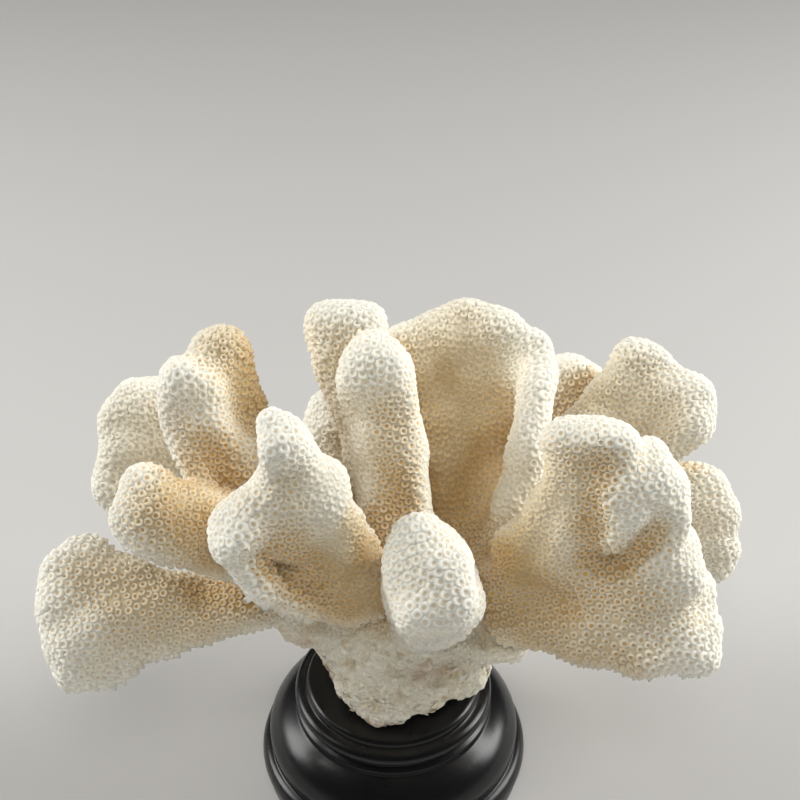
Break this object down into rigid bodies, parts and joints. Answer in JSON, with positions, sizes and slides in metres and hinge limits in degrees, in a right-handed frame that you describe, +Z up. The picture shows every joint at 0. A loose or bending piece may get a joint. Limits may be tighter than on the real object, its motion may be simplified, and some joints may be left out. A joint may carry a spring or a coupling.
{
  "type": "branching coral on stand",
  "caption": "Lobed, branching white coral skeleton whose flat-cut foot rests on a low round turned black stand, for display on a shelf or table.",
  "frame": {"origin": "centre of the stand's flat round underside", "axes": "+Z up from the underside through the coral, +X along the colony's widest spread, -Y the side that the colony opens towards"},
  "size_m": [0.1487, 0.0984, 0.1202],
  "materials": {
    "coral": "matte",
    "lacquer": "satin"
  },
  "bodies": {
    "root": {"stand": "lacquer", "trunk": "coral", "left_low_branch": "coral", "left_back_branch": "coral", "left_thumb_branch": "coral", "left_middle_branch": "coral", "front_left_branch": "coral", "centre_tall_branch": "coral", "back_left_branch": "coral", "front_knob_branch": "coral", "centre_fan_branch": "coral", "right_paddle_branch": "coral", "right_back_branch": "coral", "far_right_back_branch": "coral", "right_low_branch": "coral", "back_branch": "coral", "low_back_left_branch": "coral", "low_back_right_branch": "coral"}
  },
  "joints": []
}
